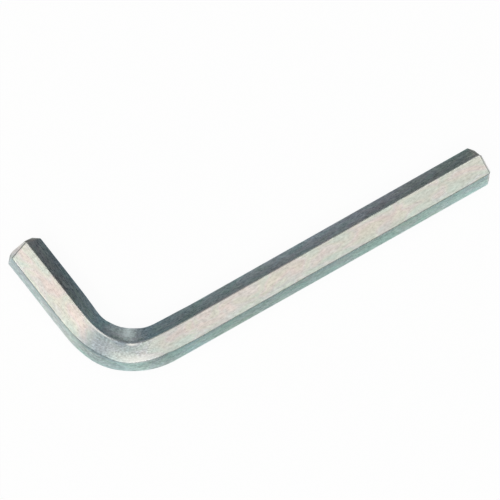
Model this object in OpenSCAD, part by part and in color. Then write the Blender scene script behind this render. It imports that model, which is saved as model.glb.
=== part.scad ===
// Hexagon key: one steel bar of hexagon section, bent once, with both ends chamfered.
// It lies on one of its flats, the long arm along +X and the short arm on the +Y side.
// The origin is the middle of its outline in plan, on the surface that it lies on.

/* [Bar] */
// Size of the hexagon across its flats
across_flats = 10; // [6:0.5:19]
// Radius of the rounding along each of the six long edges
edge_radius = 0.4; // [0.2:0.05:1]

/* [Arms] */
// Long arm over all, from its tip to the outer edge of the short arm
long_arm = 121; // [70:1:240]
// Short arm over all, from its tip to the outer edge of the long arm
short_arm = 49; // [36:1:110]
// Opening angle between the two arms
arm_angle = 98.5; // [90:0.5:110]

/* [Bend] */
// Radius of the bend at the middle of the bar
bend_radius = 18; // [13:0.5:30]

/* [Ends] */
// How far back along the bar's edges each 45 degree end chamfer begins
end_chamfer = 1.4; // [0.4:0.1:2]

/* [Hidden] */
$fn = 96;

flat_r = across_flats / 2;

// The rounding of an edge meets the flats beside it at this angle, in degrees.
edge_meet = 10;
half_edge = edge_radius * sin(30 - edge_meet);
half_flat = flat_r * tan(30) - half_edge / sin(60);
edge_centre = flat_r / cos(30) - half_edge / tan(60) - edge_radius * cos(30 - edge_meet);

// How far the rounded edges reach out from the middle of the bar.
edge_r = edge_centre + edge_radius;

// A round core fills the flats out to where the rounding of the edges has begun.
core_r = norm([flat_r, half_flat - edge_radius * sin(edge_meet)]);

// Centre lines of the arms, from the point where they would cross to each end face.
long_line = long_arm - edge_r;
short_line = short_arm - edge_r;

// The bend turns the bar by bend_turn, and takes bend_reach off the inner end of each line.
bend_turn = 180 - arm_angle;
bend_reach = bend_radius * tan(bend_turn / 2);

// Radius of the round end face that the chamfer leaves.
end_r = edge_r - end_chamfer;

// Limits of the outline in plan, from the point where the centre lines cross.
low_x = (short_line - end_chamfer) * cos(arm_angle) - edge_r * sin(arm_angle);
high_x = long_line;
low_y = -edge_r;
high_y = short_line * sin(arm_angle) - end_r * cos(arm_angle);

// Section of the bar, drawn with two flats level and an edge at each side.
module bar_section() {
    intersection() {
        circle(r = flat_r / cos(30), $fn = 6);
        union() {
            circle(r = core_r);
            for (k = [0:5])
                rotate(60 * k)
                    translate([edge_centre, 0])
                        circle(r = edge_radius);
        }
    }
}

// Straight bar along +Z, its far end chamfered by the slope of a cone.
module arm(length) {
    intersection() {
        linear_extrude(height = length)
            bar_section();
        cylinder(h = length, r1 = end_r + length, r2 = end_r);
    }
}

// One arm with its half of the bend, drawn about the bend's axis and cut off at the
// bend's middle, the plane y = 0. The two halves share that plane's section exactly.
module half_key(line) {
    room = line + bend_radius;
    intersection() {
        rotate([0, 0, -bend_turn / 2]) {
            translate([bend_radius, 0, 0])
                rotate([90, 0, 0])
                    arm(line - bend_reach);
            rotate_extrude(angle = bend_turn / 2 + 2)
                translate([bend_radius, 0])
                    bar_section();
        }
        translate([-room, -2 * room, -room])
            cube(2 * room);
    }
}

module hex_key() {
    color([0.80, 0.80, 0.77])
        translate([bend_reach - (low_x + high_x) / 2, bend_radius - (low_y + high_y) / 2, flat_r])
            rotate([0, 0, -90 - bend_turn / 2]) {
                mirror([0, 1, 0])
                    half_key(long_line);
                half_key(short_line);
            }
}

hex_key();
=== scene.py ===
"""Looks of a hexagon key: one bar of plated steel, bent once, with both ends chamfered."""

import math

import bpy
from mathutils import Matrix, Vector


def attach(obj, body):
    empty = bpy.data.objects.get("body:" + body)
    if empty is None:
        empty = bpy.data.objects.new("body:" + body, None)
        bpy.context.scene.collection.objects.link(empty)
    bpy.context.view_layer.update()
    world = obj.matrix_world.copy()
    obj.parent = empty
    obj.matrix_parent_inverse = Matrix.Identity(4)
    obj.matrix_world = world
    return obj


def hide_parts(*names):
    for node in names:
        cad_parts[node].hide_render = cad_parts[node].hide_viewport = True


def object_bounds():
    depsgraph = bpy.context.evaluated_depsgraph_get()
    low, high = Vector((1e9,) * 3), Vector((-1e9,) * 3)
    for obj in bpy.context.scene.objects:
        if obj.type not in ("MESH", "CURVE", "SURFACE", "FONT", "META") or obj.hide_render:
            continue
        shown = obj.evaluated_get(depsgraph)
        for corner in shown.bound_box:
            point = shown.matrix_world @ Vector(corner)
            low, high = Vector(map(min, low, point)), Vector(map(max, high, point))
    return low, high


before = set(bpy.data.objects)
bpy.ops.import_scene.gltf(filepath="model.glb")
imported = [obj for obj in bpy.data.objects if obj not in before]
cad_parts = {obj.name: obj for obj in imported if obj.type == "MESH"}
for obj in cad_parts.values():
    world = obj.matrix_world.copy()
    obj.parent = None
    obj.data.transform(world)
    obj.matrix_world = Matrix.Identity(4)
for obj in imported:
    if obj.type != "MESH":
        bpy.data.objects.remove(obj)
cad_low, cad_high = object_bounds()

MM = 0.001

# The turn from one edge of the hexagon to the next, and from an edge to the middle of a flat.
EDGE_TO_EDGE = math.radians(60)
EDGE_TO_FLAT = math.radians(30)

# Sizes of the key, as in the part's source.
ACROSS_FLATS = 10 * MM
FLAT_RADIUS = ACROSS_FLATS / 2
EDGE_RADIUS = 0.4 * MM
LONG_ARM = 121 * MM
SHORT_ARM = 49 * MM
ARM_ANGLE = math.radians(98.5)
BEND_RADIUS = 18 * MM

# The chamfer seen at each end, which goes in as far as it runs along the bar: on the top and
# bottom flats, on the sides beside those flats, and at the corners at half height. The short
# end's runs longer towards the outer side of the bend, by its slant.
LONG_END_RUN = 0.45 * MM
LONG_END_SIDE_RUN = 0.95 * MM
LONG_END_CORNER_RUN = 1.35 * MM
SHORT_END_RUN = 1.05 * MM
SHORT_END_SLANT = 0.167
SHORT_END_CORNER_RUN = 1.6 * MM

# What bending did to the bar. Each path says how far an edge of it strays from a true arc,
# outwards of the bend, at places along the middle line from the end of the long arm. All of it
# is in millimetres. Before the first place and after the last one, the stray stays as it is there.
BEND_SHOWS_FROM = 84.0
BEND_SHOWS_TO = 140.0
MOST_STRAY = 1.0
INNER_EDGE_PATH = (
    (84, 0.0), (89, -0.03), (93, -0.15), (97, -0.24), (101, -0.33), (105, -0.31),
    (109, -0.40), (112, -0.33), (115, -0.18), (119, -0.02), (122, 0.22), (125, 0.30),
    (128, 0.20), (131, 0.08), (135, 0.03), (140, 0.0))
TOP_INNER_EDGE_PATH = (
    (84, 0.11), (92, 0.13), (97, 0.06), (101, -0.14), (104, 0.05), (107, 0.14),
    (110, 0.32), (112, 0.30), (115, 0.10), (118, -0.07), (122, -0.24), (125, -0.17),
    (127.5, -0.03), (130, 0.0), (134, 0.0), (140, 0.0))
TOP_OUTER_EDGE_PATH = (
    (84, 0.11), (90, 0.16), (94, 0.07), (98, -0.09), (101.5, -0.43), (104, -0.34),
    (107, -0.27), (110, -0.09), (113, -0.15), (117, -0.47), (120, -0.50), (124, -0.30),
    (127, -0.10), (130, 0.0), (134, 0.0), (140, 0.0))
OUTER_EDGE_PATH = (
    (84, 0.0), (90, 0.0), (96, 0.0), (101, 0.0), (105, 0.07), (109, 0.10),
    (112, 0.22), (115, 0.36), (117.5, 0.33), (120, 0.15), (123, 0.03), (127, 0.03),
    (131, 0.07), (134, 0.06), (137, 0.03), (140, 0.0))

# How far the top and bottom flats fall away at their edges in the bend.
BEND_CROWN = 0.10 * MM

# Places on the middle line of the key, in plan.
EDGE_REACH = (FLAT_RADIUS - EDGE_RADIUS) / math.cos(EDGE_TO_FLAT) + EDGE_RADIUS
BEND_TURN = math.pi - ARM_ANGLE
BEND_REACH = BEND_RADIUS * math.tan(BEND_TURN / 2)
LONG_STRAIGHT = LONG_ARM - EDGE_REACH - BEND_REACH
SHORT_STRAIGHT = SHORT_ARM - EDGE_REACH - BEND_REACH
CROSSING = Vector((cad_high.x - LONG_ARM + EDGE_REACH, cad_low.y + EDGE_REACH, 0.0))
BEND_AXIS = CROSSING + Vector((BEND_REACH, BEND_RADIUS, 0.0))

WHITE = (1.0, 1.0, 1.0, 1.0)


class Value:
    """A number or a field in a node tree. A sum written with it adds Math nodes."""

    def __init__(self, graph, socket):
        self.graph = graph
        self.socket = socket

    def output(self, name):
        """Another output of the same node."""
        return Value(self.graph, self.socket.node.outputs[name])

    def __add__(self, other):
        return self.graph.maths("ADD", self, other)

    def __sub__(self, other):
        return self.graph.maths("SUBTRACT", self, other)

    def __rsub__(self, other):
        return self.graph.maths("SUBTRACT", other, self)

    def __mul__(self, other):
        return self.graph.maths("MULTIPLY", self, other)

    def __truediv__(self, other):
        return self.graph.maths("DIVIDE", self, other)

    def __rtruediv__(self, other):
        return self.graph.maths("DIVIDE", other, self)

    __radd__ = __add__
    __rmul__ = __mul__


class Graph:
    """Adds nodes to one node tree."""

    def __init__(self, tree):
        self.tree = tree

    def node(self, kind, settings=None, values=None, out=0):
        """One node: its settings first, then the values or links of its sockets.

        Sockets are named where their names are plain, and numbered where names repeat.
        """
        made = self.tree.nodes.new(kind)
        for name, value in (settings or {}).items():
            if name == "stops":
                self.set_stops(made.color_ramp, value)
            elif name == "curve":
                self.set_curve(made.mapping, value)
            elif name == "items":
                while len(made.index_switch_items) < value:
                    made.index_switch_items.new()
            else:
                setattr(made, name, value)
        for name, value in (values or {}).items():
            if isinstance(value, Value):
                self.tree.links.new(value.socket, made.inputs[name])
            else:
                made.inputs[name].default_value = value
        return Value(self, made.outputs[out]) if made.outputs else None

    @staticmethod
    def set_stops(ramp, stops):
        while len(ramp.elements) < len(stops):
            ramp.elements.new(1.0)
        for element, (place, colour) in zip(ramp.elements, stops):
            element.position = place
            element.color = (*colour, 1.0)

    @staticmethod
    def set_curve(mapping, places):
        curve = mapping.curves[0]
        while len(curve.points) < len(places):
            curve.points.new(0.5, 0.5)
        for point, place in zip(curve.points, places):
            point.location = place
        mapping.update()

    def maths(self, operation, *values):
        return self.node("ShaderNodeMath", {"operation": operation}, dict(enumerate(values)))

    def vector(self, operation, *values, out=0):
        settings = {"operation": operation}
        return self.node("ShaderNodeVectorMath", settings, dict(enumerate(values)), out)

    def dot(self, a, b):
        return self.vector("DOT_PRODUCT", a, b, out="Value")

    def length(self, vector):
        return self.vector("LENGTH", vector, out="Value")

    def scaled(self, vector, factor):
        settings = {"operation": "SCALE"}
        return self.node("ShaderNodeVectorMath", settings, {0: vector, "Scale": factor})

    def parts(self, vector):
        """The three numbers of a vector."""
        x = self.node("ShaderNodeSeparateXYZ", None, {0: vector})
        return x, x.output("Y"), x.output("Z")

    def joined(self, x, y, z):
        """A vector of three numbers."""
        return self.node("ShaderNodeCombineXYZ", None, {"X": x, "Y": y, "Z": z})

    def sine(self, angle):
        return self.maths("SINE", angle)

    def cosine(self, angle):
        return self.maths("COSINE", angle)

    def absolute(self, value):
        return self.maths("ABSOLUTE", value)

    def least(self, a, b):
        return self.maths("MINIMUM", a, b)

    def most(self, a, b):
        return self.maths("MAXIMUM", a, b)

    def spread(self, value, low, high, to_low=0.0, to_high=1.0, ease="LINEAR"):
        """The value carried from one range to another, and held at its ends."""
        settings = {"interpolation_type": ease, "clamp": True}
        values = {0: value, 1: low, 2: high, 3: to_low, 4: to_high}
        return self.node("ShaderNodeMapRange", settings, values)

    def soft_step(self, value, low, high):
        """0 at low and 1 at high, with a soft slope between them."""
        return self.spread(value, low, high, ease="SMOOTHSTEP")

    def bump_at(self, value, middle, reach):
        """A smooth hump: 1 at the middle and 0 from the reach on."""
        return self.soft_step(self.absolute(value - middle), reach, 0.0)

    def path(self, value, low, high, points, most):
        """A smooth curve through points, held between minus and plus the most it may reach."""
        places = [((place - low) / (high - low), 0.5 + 0.5 * height / most)
                  for place, height in points]
        curve = self.node("ShaderNodeFloatCurve", {"curve": places},
                          {"Value": self.spread(value, low, high)})
        return self.spread(curve, 0.0, 1.0, -most, most)

    def choose(self, test, a, b):
        """Value b where the test is 1, and value a where it is 0."""
        return self.node("ShaderNodeMix", {"data_type": "FLOAT"}, {0: test, 2: a, 3: b})

    def listed(self, index, numbers):
        """The number at a place in a list."""
        settings = {"data_type": "FLOAT", "items": len(numbers)}
        return self.node("GeometryNodeIndexSwitch", settings, dict(enumerate([index, *numbers])))

    def stored(self, name, out="Fac"):
        """A number or vector that the shape keeps on its mesh."""
        return self.node("ShaderNodeAttribute", {"attribute_name": name}, None, out)

    def pattern(self, where, stretch, detail, rough, warp=0.0):
        """Noise with so many waves to a millimetre along the bar, across it and upwards."""
        return self.node("ShaderNodeTexNoise", None, {
            "Vector": self.vector("MULTIPLY", where, stretch), "Scale": 1.0,
            "Detail": detail, "Roughness": rough, "Distortion": warp})

    def varied(self, pattern, to_low, to_high, swing=0.2):
        """A pattern carried to a range, where it swings so far to either side of a half."""
        return self.spread(pattern, 0.5 - swing, 0.5 + swing, to_low, to_high)

    def colours(self, value, stops):
        """A colour for each value, from stops between 0 and 1."""
        return self.node("ShaderNodeValToRGB", {"stops": stops}, {0: value})

    def blend(self, share, a, b):
        """Two colours mixed by a share from 0 to 1."""
        settings = {"data_type": "RGBA", "clamp_factor": True}
        return self.node("ShaderNodeMix", settings, {0: share, 6: a, 7: b}, out=2)

    def toned(self, share, colour, tone):
        """A colour that takes on a tone by a share from 0 to 1."""
        return self.blend(share, colour, self.vector("MULTIPLY", colour, tone))


def emptied(owner):
    """The node tree of a material or a world, cleared for building."""
    owner.use_nodes = True
    owner.node_tree.nodes.clear()
    return Graph(owner.node_tree)


def placed(name, data):
    """A new object in the scene."""
    made = bpy.data.objects.new(name, data)
    bpy.context.scene.collection.objects.link(made)
    return made


# Faces drawn over a rounded edge, over a flat beside it, and along the bar.
EDGE_FACES = 6
FLAT_FACES = 6
LONG_ARM_ROWS = 96
BEND_ROWS = 54
SHORT_ARM_ROWS = 24

# Rings from the middle of an end face out to the full bar: the share of the end face's radius,
# the share of the chamfer that is passed, and the way gone beyond the chamfer.
END_RINGS = (
    (0.00, 0.00, 0.0),
    (0.45, 0.00, 0.0),
    (0.80, 0.00, 0.0),
    (0.965, 0.00, 0.0),
    (1.00, 0.05, 0.0),
    (1.00, 0.50, 0.0),
    (1.00, 0.92, 0.0),
    (1.00, 1.00, 0.12 * MM),
    (1.00, 1.00, 0.60 * MM),
)

# How far from each tip the even rows of an arm begin. The rings lie before that.
END_ROOM = 3 * MM

# Rings at each tip that make its cut face and its chamfer.
CUT_RINGS = len(END_RINGS) - 2

# Heights, as shares of the half height: where the side's chamfer ends, and between which the
# flat's own one takes over.
SIDE_CHAMFER_ENDS = 0.9
FLAT_CHAMFER = (0.93, 0.995)

# Shares of the bend over which its marks set in, and over which they fade again.
MARKS_SET_IN = (0.0, 0.22)
MARKS_FADE = (1.0, 0.72)

# Points of the rolled grid that lie as close as this are one point.
SAME_POINT = 0.002 * MM


def bar_tree():
    """A hexagon bar with one bend, drawn as a grid that is rolled up.

    A column of the grid runs once round the bar's section, and its rows run from the end of
    the long arm to the end of the short one.
    """
    tree = bpy.data.node_groups.new("bent_hexagon_bar", "GeometryNodeTree")
    for name in ("Flat radius", "Edge radius", "Long straight", "Short straight",
                 "Bend radius", "Bend turn", "Crown",
                 "Long end run", "Long end side run", "Long end corner run",
                 "Short end run", "Short end slant", "Short end corner run"):
        tree.interface.new_socket(name, in_out="INPUT", socket_type="NodeSocketFloat")
    tree.interface.new_socket("Bend axis", in_out="INPUT", socket_type="NodeSocketVector")
    tree.interface.new_socket("Finish", in_out="INPUT", socket_type="NodeSocketMaterial")
    tree.interface.new_socket("Bar", in_out="OUTPUT", socket_type="NodeSocketGeometry")
    g = Graph(tree)
    given = g.node("NodeGroupInput").socket.node
    size = {socket.name: Value(g, socket) for socket in given.outputs if socket.name}

    side_faces = EDGE_FACES + FLAT_FACES
    around = 6 * side_faces
    rings = len(END_RINGS)
    rows = 2 * rings + LONG_ARM_ROWS + BEND_ROWS + SHORT_ARM_ROWS
    grid = g.node("GeometryNodeMeshGrid", None, {
        "Size X": float(around), "Size Y": float(rows),
        "Vertices X": around + 1, "Vertices Y": rows + 1})
    flat_x, flat_y, _ = g.parts(g.node("GeometryNodeInputPosition"))
    column = g.maths("ROUND", flat_x + around / 2)
    row = g.maths("ROUND", flat_y + rows / 2)

    # The section: an arc over each edge and then the flat that follows it.
    corner = g.maths("FLOOR", column / side_faces)
    step = column - corner * side_faces
    turned = corner * EDGE_TO_EDGE
    on_arc = g.least(step / EDGE_FACES, 1.0)
    arc = turned - EDGE_TO_FLAT + on_arc * EDGE_TO_EDGE
    across = g.spread(step, float(EDGE_FACES), float(side_faces), ease="SMOOTHERSTEP")
    straight_r = size["Flat radius"] - size["Edge radius"]
    reach = straight_r / math.cos(EDGE_TO_FLAT)
    width = straight_r * (2 * math.tan(EDGE_TO_FLAT))
    along_flat = turned + 2 * EDGE_TO_EDGE
    out, up = (
        reach * side_of(turned) + size["Edge radius"] * side_of(arc)
        + across * width * side_of(along_flat)
        for side_of in (g.cosine, g.sine))

    # The ends: rings of the end face, and the chamfer that runs along each flat.
    on_short_half = g.maths("GREATER_THAN", row, rows / 2)
    lift = g.absolute(up) / size["Flat radius"]
    on_top = g.soft_step(lift, *FLAT_CHAMFER)
    half_flat = size["Flat radius"] * math.tan(EDGE_TO_FLAT)
    over_flat = g.least(g.most(out, 0 - half_flat), half_flat)
    short_run = size["Short end run"] + over_flat * size["Short end slant"]
    side_run = g.choose(on_short_half, *(
        g.spread(lift, 0.0, SIDE_CHAMFER_ENDS, corner_run, flat_run)
        for corner_run, flat_run in (
            (size["Long end corner run"], size["Long end side run"]),
            (size["Short end corner run"], short_run))))
    top_run = g.choose(on_short_half, size["Long end run"], short_run)
    run = g.choose(on_top, side_run, top_run)
    ring = g.least(g.least(row, float(rings)), rows - row)
    face_share, slope_share, beyond = (
        g.listed(ring, numbers) for numbers in zip(*END_RINGS, (1.0, 1.0, END_ROOM)))
    face = 1 - run / size["Flat radius"]
    inset = face_share * (face + slope_share * (1 - face))
    depth = slope_share * run + beyond

    # How far each row lies along the middle of the bar, from the end of the long arm.
    bend_length = size["Bend radius"] * size["Bend turn"]
    total = size["Long straight"] + bend_length + size["Short straight"]
    bend_row = float(rings + LONG_ARM_ROWS)
    short_row = bend_row + BEND_ROWS
    on_long = g.spread(row, float(rings), bend_row, END_ROOM, size["Long straight"])
    on_bend = g.spread(row, bend_row, short_row, 0.0, bend_length)
    on_short = g.spread(row, short_row, float(rows - rings), 0.0,
                        size["Short straight"] - END_ROOM)
    at_start = g.maths("LESS_THAN", row, float(rings))
    at_end = g.maths("GREATER_THAN", row, float(rows - rings))
    along = g.choose(at_start, on_long + on_bend + on_short, depth)
    along = g.choose(at_end, along, total - depth)

    # What the bending did: strayed edges, and flats that fall away.
    into_bend = along - size["Long straight"]
    turn = g.least(g.most(into_bend / size["Bend radius"], 0.0), size["Bend turn"])
    bent_share = turn / size["Bend turn"]
    in_bend = g.soft_step(bent_share, *MARKS_SET_IN) * g.soft_step(bent_share, *MARKS_FADE)
    inner, top_inner, top_outer, outer = (
        g.path(along / MM, BEND_SHOWS_FROM, BEND_SHOWS_TO, points, MOST_STRAY) * MM
        for points in (INNER_EDGE_PATH, TOP_INNER_EDGE_PATH,
                       TOP_OUTER_EDGE_PATH, OUTER_EDGE_PATH))
    lean = out / half_flat
    top_shift = g.choose(g.spread(lean, -1.0, 1.0), top_inner, top_outer)
    side_shift = g.choose(g.maths("GREATER_THAN", out, 0.0), inner, outer)
    out = out + g.choose(lift, side_shift, top_shift)
    crown = in_bend * size["Crown"] / size["Flat radius"] * g.least(lean * lean, 1.0)
    up = up * (1 - crown)

    # The same point on the bent bar, and where it would be on a straight one, in millimetres.
    before = g.most(size["Long straight"] - along, 0.0)
    past = g.most(into_bend - bend_length, 0.0)
    from_axis = size["Bend radius"] + out * inset
    bent = g.vector("ADD", size["Bend axis"], g.joined(
        before - from_axis * g.sine(turn) - past * g.cosine(size["Bend turn"]),
        past * g.sine(size["Bend turn"]) - from_axis * g.cosine(turn),
        size["Flat radius"] + up * inset))
    straight = g.joined(along / MM, out * inset / MM, up * inset / MM)
    on_edge = 1 - g.absolute(on_arc * 2 - 1)
    on_end = g.maths("LESS_THAN", ring, float(CUT_RINGS))

    mesh = grid
    for name, kind, field in (("straight", "FLOAT_VECTOR", straight), ("bend", "FLOAT", in_bend),
                              ("edge", "FLOAT", on_edge), ("end", "FLOAT", on_end)):
        mesh = g.node("GeometryNodeStoreNamedAttribute", {"data_type": kind, "domain": "POINT"},
                      {"Geometry": mesh, "Name": name, "Value": field})
    for kind, values in (("GeometryNodeSetPosition", {"Position": bent}),
                         ("GeometryNodeMergeByDistance", {"Distance": SAME_POINT}),
                         ("GeometryNodeSetShadeSmooth", {"Shade Smooth": True}),
                         ("GeometryNodeRealizeInstances", {}),
                         ("GeometryNodeSetMaterial", {"Material": size["Finish"]})):
        mesh = g.node(kind, None, {"Geometry": mesh, **values})
    g.node("NodeGroupOutput", None, {"Bar": mesh})
    return tree


def made_by(name, tree, inputs):
    """A plain mesh object from a tree and the values of its inputs."""
    carrier = placed(name + "_maker", bpy.data.meshes.new(name + "_maker"))
    modifier = carrier.modifiers.new("shape", "NODES")
    modifier.node_group = tree
    for socket in tree.interface.items_tree:
        if socket.in_out == "INPUT":
            modifier[socket.identifier] = inputs[socket.name]
    seen = carrier.evaluated_get(bpy.context.evaluated_depsgraph_get())
    mesh = bpy.data.meshes.new_from_object(seen)
    mesh.name = name
    bpy.data.objects.remove(carrier)
    return placed(name, mesh)


# Marks along the bar, in millimetres from the end of the long arm: the middle of each and its
# reach to either side.
# A painted highlight inside the bend, on a pale, rougher, less metallic patch.
BEND_HIGHLIGHT = (113.5, 10.5)
BEND_HIGHLIGHT_HEART = (110.8, 3.4)
# Painted shade where the bend sets in.
SHADE_ONSET = (98.0, 10.0)
# A painted sheen on the outer half of the bend.
SHEEN = (107.5, 7.5)
# A painted glint by the inner top edge.
GLINT = (109.2, 2.4)
# Painted shade over the inner half of the bend, and along a line by its inner top edge.
INNER_SHADE = (112.0, 10.0)
GROOVE_SHADE = (113.0, 9.0)
# Painted shade over the far half of the bend.
CREASE_SHADE = (118.4, 7.5)
# A painted glint along the inner top edge, past the middle of the bend.
EDGE_GLINT = (120.0, 11.0)
# Painted light on the flat after the bend.
PAINTED_LIGHT_AFTER = (128.0, 8.0)
WARM_AFTER = (133.0, 14.0)
# A painted shade line beside the top flat, on the outer side.
EDGE_SHADE = (138.0, 14.0)

# Marks across the bar, in millimetres outwards of the bend: the middle of each and its reach.
EDGE_GLINT_ACROSS = (-2.9, 0.45)
GLINT_ACROSS = (-2.25, 0.55)
GROOVE_SHADE_ACROSS = (-2.2, 0.9)
ROSY_ACROSS = (-0.6, 1.9)
EDGE_SHADE_ACROSS = (3.05, 0.4)

# Slopes across the bar, from where a mark is nothing to where it is whole.
BEND_HIGHLIGHT_SLOPE = (-2.9, -4.6)
INNER_SHADE_SLOPE = (1.9, -1.3)
SHEEN_SLOPE = (0.0, 2.0)
MARGIN_SLOPE = (0.9, 2.3)

# Heights over the middle of the bar, in millimetres: between which a side gives way to a flat,
# and between which the painted shade line beside the top flat sets in.
FLAT_SLOPE = (3.9, 4.6)
EDGE_SHADE_SLOPE = (3.0, 4.0)

# How much each mark counts towards the painted shade of the bend, beside the far half's own at 1,
# and how far that painted shade takes on its dark colour.
SHADE_ONSET_SHARE = 0.22
INNER_SHADE_SHARE = 0.72
GROOVE_SHADE_SHARE = 0.5
BEND_SHADE_STRENGTH = 0.71

# Colours of the metal, and tones that a colour is multiplied by.
PLATING_TINTS = (
    (0.32, (0.730, 0.790, 0.730)),
    (0.43, (0.790, 0.797, 0.725)),
    (0.50, (0.787, 0.777, 0.757)),
    (0.57, (0.828, 0.764, 0.738)),
    (0.68, (0.806, 0.798, 0.715)),
)
# The dark colour of the painted shade in the bend.
BEND_SHADE_COLOUR = (0.345, 0.425, 0.485)
# The colour of the painted glints and sheen.
HIGHLIGHT_COLOUR = (0.97, 0.96, 0.93, 1.0)
# The pale colour of the painted highlight inside the bend.
BEND_HIGHLIGHT_COLOUR = (0.87, 0.99, 1.0)
CUT_METAL = (0.66, 0.66, 0.645, 1.0)
COOL_TONE = (0.94, 1.0, 1.05)
WARM_TONE = (1.02, 0.99, 0.98)
ROSY_TONE = (1.045, 1.0, 1.0)
MARGIN_TONE = (0.945, 1.005, 1.02)
# The tone of the painted shade line beside the top flat.
EDGE_SHADE_TONE = (0.76, 0.84, 0.83)

# Strength of the fine relief, and its height.
RELIEF = 0.35
RELIEF_HEIGHT = 0.02 * MM


def plated_steel():
    """Zinc plating on drawn bar: pale, faintly tinted in patches, with fine lines along the bar."""
    material = bpy.data.materials.new("zinc_plated_steel")
    g = emptied(material)
    straight = g.stored("straight", "Vector")
    bend, edge, end = (g.stored(name) for name in ("bend", "edge", "end"))
    along, out, up = g.parts(straight)
    on_flat = g.spread(g.absolute(up), *FLAT_SLOPE)

    # Lines left by drawing the bar, patches of the plating's tint, and its fine grain.
    lines = g.pattern(straight, (0.035, 5.0, 5.0), detail=4.0, rough=0.65)
    tint = g.pattern(straight, (0.13, 0.28, 0.28), detail=1.0, rough=0.5, warp=0.8)
    cloud = g.pattern(straight, (0.35, 0.9, 0.9), detail=4.0, rough=0.6, warp=0.3)
    grain = g.pattern(straight, (0.9, 2.0, 2.0), detail=3.0, rough=0.65)
    pits = g.pattern(straight, (1.5, 2.8, 2.8), detail=2.0, rough=0.6)
    streaks = g.pattern(straight, (0.9, 0.12, 0.12), detail=2.0, rough=0.5)

    # Where the bend shaped the bar, light and shade are painted on: a painted highlight on a pale
    # matt patch inside it, painted shade over its far and inner halves, painted glints, and a
    # painted sheen on the outer half.
    painted_bend_highlight = g.bump_at(along, *BEND_HIGHLIGHT) * 0.5 + g.bump_at(along, *BEND_HIGHLIGHT_HEART) * 0.5
    painted_bend_highlight = painted_bend_highlight * g.soft_step(out, *BEND_HIGHLIGHT_SLOPE) * g.spread(streaks, 0.35, 0.6, 0.7, 1.0)
    painted_crease_shade = g.bump_at(along, *CREASE_SHADE) * g.spread(cloud, 0.30, 0.55, 0.65, 1.0)
    painted_inner_shade = g.bump_at(along, *INNER_SHADE) * g.soft_step(out, *INNER_SHADE_SLOPE)
    painted_groove_shade = g.bump_at(along, *GROOVE_SHADE) * g.bump_at(out, *GROOVE_SHADE_ACROSS)
    # The painted shade of the bend, which also makes the metal a little rougher.
    painted_shade_and_dull = on_flat * g.most(
        g.most(painted_crease_shade, g.bump_at(along, *SHADE_ONSET) * SHADE_ONSET_SHARE),
        painted_inner_shade * INNER_SHADE_SHARE + painted_groove_shade * GROOVE_SHADE_SHARE)
    painted_glint = g.bump_at(along, *GLINT) * g.bump_at(out, *GLINT_ACROSS) * on_flat
    painted_edge_glint = g.bump_at(along, *EDGE_GLINT) * g.bump_at(out, *EDGE_GLINT_ACROSS) * on_flat
    painted_sheen = g.bump_at(along, *SHEEN) * g.soft_step(out, *SHEEN_SLOPE) * on_flat

    # How light or dark the metal is: in patches, lines and grain, in the pits of the bend, more
    # strongly on the sides, and with painted light on the flat after the bend.
    shade = g.varied(cloud, 0.90, 1.07) * g.varied(lines, 0.95, 1.04, 0.25)
    shade = shade * g.varied(grain, 0.76, 1.17, 0.25)
    shade = shade * (1 - bend * g.varied(pits, 0.30, -0.14, 0.15))
    side_shade = g.varied(cloud, -0.09, 0.08) + g.varied(grain, -0.12, 0.12, 0.25)
    shade = shade * (1 + (1 - on_flat) * side_shade)
    shade = shade * (1 + g.bump_at(along, *PAINTED_LIGHT_AFTER) * on_flat * 0.08)

    # The plating's own colour, its tones over the faces, and then the marks on it.
    colour = g.scaled(g.colours(tint, PLATING_TINTS), shade)
    colour = g.toned(bend, colour, COOL_TONE)
    colour = g.toned(g.bump_at(along, *WARM_AFTER) * on_flat, colour, WARM_TONE)
    colour = g.toned(g.bump_at(out, *ROSY_ACROSS) * on_flat * (1 - bend), colour, ROSY_TONE)
    colour = g.toned(g.soft_step(out, *MARGIN_SLOPE) * on_flat, colour, MARGIN_TONE)
    # A painted shade line on the outer side just below the top flat, strongest further along.
    painted_edge_shade = g.bump_at(out, *EDGE_SHADE_ACROSS) * g.spread(up, *EDGE_SHADE_SLOPE)
    painted_edge_shade = painted_edge_shade * (g.bump_at(along, *EDGE_SHADE) * 0.8 + 0.2)
    colour = g.toned(painted_edge_shade, colour, EDGE_SHADE_TONE)
    # Painted shade over the bend.
    colour = g.blend(painted_shade_and_dull * BEND_SHADE_STRENGTH, colour, g.scaled(BEND_SHADE_COLOUR, shade))
    # Painted glints and sheen.
    colour = g.blend(g.most(g.most(painted_sheen * 0.75, painted_glint), painted_edge_glint * 0.8), colour, HIGHLIGHT_COLOUR)
    # The painted highlight inside the bend.
    colour = g.blend(painted_bend_highlight, colour, g.scaled(BEND_HIGHLIGHT_COLOUR, shade * 0.4 + 0.6))
    colour = g.blend(end * 0.3, colour, CUT_METAL)

    rough = g.varied(lines, 0.26, 0.33) + g.varied(grain, -0.03, 0.03)
    rough = rough + painted_shade_and_dull * 0.06 + painted_bend_highlight * 0.2 - end * 0.08 - edge * 0.06 - painted_glint * 0.08
    height = lines * 0.5 + grain * (0.5 + bend * 1.2) + pits * (0.12 + bend * 0.3)
    relief = g.node("ShaderNodeBump", None, {
        "Strength": RELIEF, "Distance": RELIEF_HEIGHT, "Height": height})
    shader = g.node("ShaderNodeBsdfPrincipled", None, {
        "Base Color": colour, "Metallic": 1 - painted_bend_highlight * 0.95, "Roughness": rough,
        "Normal": relief})
    g.node("ShaderNodeOutputMaterial", None, {"Surface": shader})
    return material


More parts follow.
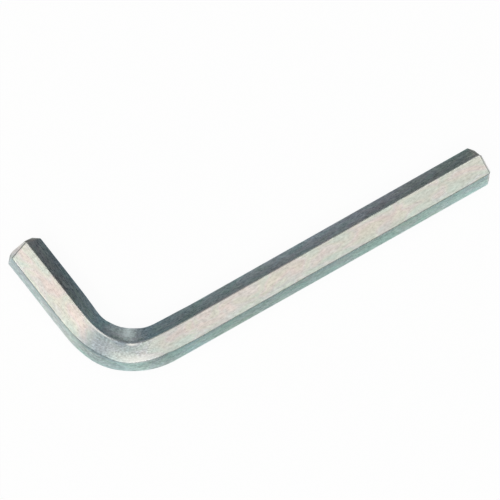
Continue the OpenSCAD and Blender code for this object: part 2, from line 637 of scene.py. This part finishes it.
def add_key():
    piece = made_by("bent_bar", bar_tree(), {
        "Flat radius": FLAT_RADIUS,
        "Edge radius": EDGE_RADIUS,
        "Long straight": LONG_STRAIGHT,
        "Short straight": SHORT_STRAIGHT,
        "Bend radius": BEND_RADIUS,
        "Bend turn": BEND_TURN,
        "Crown": BEND_CROWN,
        "Long end run": LONG_END_RUN,
        "Long end side run": LONG_END_SIDE_RUN,
        "Long end corner run": LONG_END_CORNER_RUN,
        "Short end run": SHORT_END_RUN,
        "Short end slant": SHORT_END_SLANT,
        "Short end corner run": SHORT_END_CORNER_RUN,
        "Bend axis": BEND_AXIS,
        "Finish": plated_steel(),
    })
    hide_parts("hex_key")
    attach(piece, "root")


# The camera: its lens in millimetres, its place, its turn in degrees about x, y and z, and the
# nearest and furthest that it sees, in metres.
LENS = 72.0
CAMERA_PLACE = (4.318 * MM, 0.828 * MM, 280.673 * MM)
CAMERA_TURN = (-2.4104, 0.4928, -29.5229)
NEAREST_SEEN = 0.01
FURTHEST_SEEN = 20.0

# How far the picture is turned on the floor.
PICTURE_TURN = math.radians(29.52)


def add_camera():
    """Nearly straight above the key, as the photograph was taken."""
    lens = bpy.data.cameras.new("camera")
    lens.lens = LENS
    lens.clip_start = NEAREST_SEEN
    lens.clip_end = FURTHEST_SEEN
    camera = placed("camera", lens)
    camera.location = CAMERA_PLACE
    camera.rotation_euler = [math.radians(angle) for angle in CAMERA_TURN]
    bpy.context.scene.camera = camera


def towards(picture_angle, height):
    """A direction over the floor: degrees clockwise from the top of the picture, and degrees up."""
    a = math.radians(picture_angle) + PICTURE_TURN
    e = math.radians(height)
    return Vector((math.sin(a) * math.cos(e), math.cos(a) * math.cos(e), math.sin(e)))


# What the metal mirrors of the floor, from the left of the picture to the right: outside the
# arms, and between them. Each span is in millimetres from where the arms cross.
OUTSIDE_SPAN = (-35.0, 105.0)
MIRRORED_OUTSIDE = (
    (0.00, (0.75, 0.86, 0.95)),
    (0.13, (0.85, 1.00, 1.00)),
    (0.23, (0.53, 0.70, 0.70)),
    (0.32, (0.80, 0.95, 0.93)),
    (0.41, (0.53, 0.77, 0.82)),
    (0.49, (0.49, 0.67, 0.67)),
    (0.70, (0.51, 0.69, 0.72)),
    (0.88, (0.58, 0.78, 0.77)),
    (1.00, (0.67, 0.91, 0.96)),
)
BETWEEN_SPAN = (-6.0, 94.0)
MIRRORED_BETWEEN = (
    (0.00, (0.085, 0.18, 0.25)),
    (0.15, (0.21, 0.335, 0.39)),
    (0.23, (0.29, 0.415, 0.47)),
    (0.60, (0.36, 0.45, 0.56)),
    (0.75, (0.28, 0.335, 0.41)),
    (1.00, (0.13, 0.235, 0.25)),
)

# Plain tones that it mirrors close beside the arms, past the two tips, and far off.
MIRRORED_BESIDE = (0.60, 0.64, 0.64, 1.0)
MIRRORED_PAST_TIPS = (0.24, 0.245, 0.25, 1.0)
MIRRORED_FAR = (0.95, 0.96, 0.96, 1.0)

# The floor's own paint, and the white light laid over it: its strength, its share for the camera
# and through glass, its share in what metal mirrors near the key, and how much more of it metal
# mirrors on open floor.
FLOOR_PAINT = (0.88, 0.88, 0.88, 1.0)
WHITE_STRENGTH = 1.04
WHITE_SEEN = 0.9
WHITE_NEAR = 0.02
WHITE_OPEN = 0.6


def floor_finish():
    """Pale to the camera, which keeps a trace of the key's shadow on it.

    The metal mirrors a duller floor, dark between the arms and paler outside them, because
    the sides of the key in the photograph are dark against a white ground.
    """
    material = bpy.data.materials.new("plain_floor")
    g = emptied(material)
    camera_ray = g.node("ShaderNodeLightPath")
    glossy_ray = camera_ray.output("Is Glossy Ray")
    through_ray = camera_ray.output("Is Transmission Ray")

    # Where a place on the floor lies: how far inside each arm, to the right, and past each tip.
    place = g.node("ShaderNodeTexCoord", out="Object")
    from_crossing = g.vector("SUBTRACT", place, CROSSING)
    from_bend = g.length(from_crossing)
    above_long = g.parts(from_crossing)[1]
    beside_short = g.dot(from_crossing, (math.sin(BEND_TURN), math.cos(BEND_TURN), 0.0))
    depth_in = g.least(above_long, beside_short)
    from_arm = g.absolute(depth_in)
    to_right = g.dot(from_crossing, towards(90, 0)) / MM
    along_short = g.dot(from_crossing, (-math.cos(BEND_TURN), math.sin(BEND_TURN), 0.0))
    past_long = g.parts(from_crossing)[0] - (LONG_ARM - EDGE_REACH)
    past_short = along_short - (SHORT_ARM - EDGE_REACH)

    between = g.soft_step(depth_in, -4 * MM, 4 * MM)
    beside = g.spread(from_arm, 10 * MM, 6 * MM) * g.spread(from_bend, 25 * MM, 35 * MM)
    past_tips = g.most(*(
        g.spread(past, 1 * MM, 5 * MM) * g.spread(aside, -16 * MM, -9 * MM)
        for past, aside in ((past_long, above_long), (past_short, beside_short))))
    far_off = g.spread(g.length(place), 85 * MM, 115 * MM)
    open_floor = g.most(far_off, past_tips * g.spread(depth_in, 2 * MM, -2 * MM))

    mirrored = g.blend(
        between,
        g.colours(g.spread(to_right, *OUTSIDE_SPAN), MIRRORED_OUTSIDE),
        g.colours(g.spread(to_right, *BETWEEN_SPAN), MIRRORED_BETWEEN))
    mirrored = g.scaled(mirrored, g.spread(from_arm, 8 * MM, 30 * MM, 1.75, 0.10))
    mirrored = g.blend(beside, mirrored, MIRRORED_BESIDE)
    mirrored = g.blend(past_tips, mirrored, MIRRORED_PAST_TIPS)
    mirrored = g.blend(open_floor, mirrored, MIRRORED_FAR)

    paint = g.node("ShaderNodeBsdfDiffuse", None, {
        "Color": g.blend(glossy_ray, FLOOR_PAINT, mirrored)})
    white = g.node("ShaderNodeEmission", None, {"Color": WHITE, "Strength": WHITE_STRENGTH})
    share = (camera_ray * WHITE_SEEN + glossy_ray * (WHITE_NEAR + open_floor * WHITE_OPEN)
             + through_ray * WHITE_SEEN)
    surface = g.node("ShaderNodeMixShader", None, {0: share, 1: paint, 2: white})
    g.node("ShaderNodeOutputMaterial", None, {"Surface": surface})
    return material


# Half the floor's width, its squares to a side, and how far it lies below the key.
FLOOR_HALF = 3.0
FLOOR_SQUARES = 24
FLOOR_DROP = 0.02 * MM


def add_floor():
    corners = FLOOR_SQUARES + 1
    lines = [FLOOR_HALF * (2 * i / FLOOR_SQUARES - 1) for i in range(corners)]
    points = [(x, y, -FLOOR_DROP) for x in lines for y in lines]
    faces = [(a, a + corners, a + corners + 1, a + 1)
             for first in range(0, FLOOR_SQUARES * corners, corners)
             for a in range(first, first + FLOOR_SQUARES)]
    mesh = bpy.data.meshes.new("floor")
    mesh.from_pydata(points, [], faces)
    mesh.materials.append(floor_finish())
    placed("floor", mesh)


# Soft lamps a metre from the key: name, degrees clockwise from the top of the picture, degrees
# up, width and height in metres, brightness and colour.
LAMPS = (
    ("near_lamp", -165, 50, 0.40, 0.40, 1.2, (1.0, 0.99, 0.97)),
    ("left_lamp", -108, 58, 0.34, 0.34, 1.1, (1.0, 0.96, 0.92)),
    ("far_lamp", 28, 60, 0.70, 0.16, 1.6, (0.97, 0.99, 1.0)),
)

# Watts to a square metre of lamp at brightness 1.
LAMP_POWER = 4

# The room around, by the height of a direction: 0 at the horizon and below it, 1 straight up.
ROOM = (
    (0.00, (0.85, 0.86, 0.86)),
    (0.10, (0.80, 0.81, 0.81)),
    (0.26, (0.30, 0.31, 0.32)),
    (0.42, (0.17, 0.18, 0.19)),
    (0.70, (0.20, 0.21, 0.21)),
    (0.82, (0.52, 0.52, 0.50)),
    (0.89, (0.80, 0.79, 0.76)),
    (1.00, (0.87, 0.86, 0.82)),
)


def add_lamps():
    for name, picture_angle, up, wide, high, brightness, colour in LAMPS:
        light = bpy.data.lights.new(name, "AREA")
        light.shape = "RECTANGLE"
        light.size = wide
        light.size_y = high
        light.energy = brightness * LAMP_POWER * wide * high
        light.color = colour
        lamp = placed(name, light)
        direction = towards(picture_angle, up)
        lamp.location = direction
        lamp.rotation_mode = "QUATERNION"
        lamp.rotation_quaternion = direction.to_track_quat("Z", "Y")
        lamp.visible_camera = False


def add_room():
    """A plain studio with a pale ceiling, white where the camera looks at it."""
    world = bpy.data.worlds.new("studio")
    bpy.context.scene.world = world
    g = emptied(world)
    camera_ray = g.node("ShaderNodeLightPath")
    height = g.dot(g.node("ShaderNodeTexCoord"), (0.0, 0.0, 1.0))
    seen = g.blend(camera_ray, g.colours(height, ROOM), WHITE)
    lit = g.node("ShaderNodeBackground", None, {"Color": seen, "Strength": 1.0})
    g.node("ShaderNodeOutputWorld", None, {"Surface": lit})


add_camera()
add_key()
add_floor()
add_lamps()
add_room()
bpy.context.scene.view_settings.view_transform = "Standard"
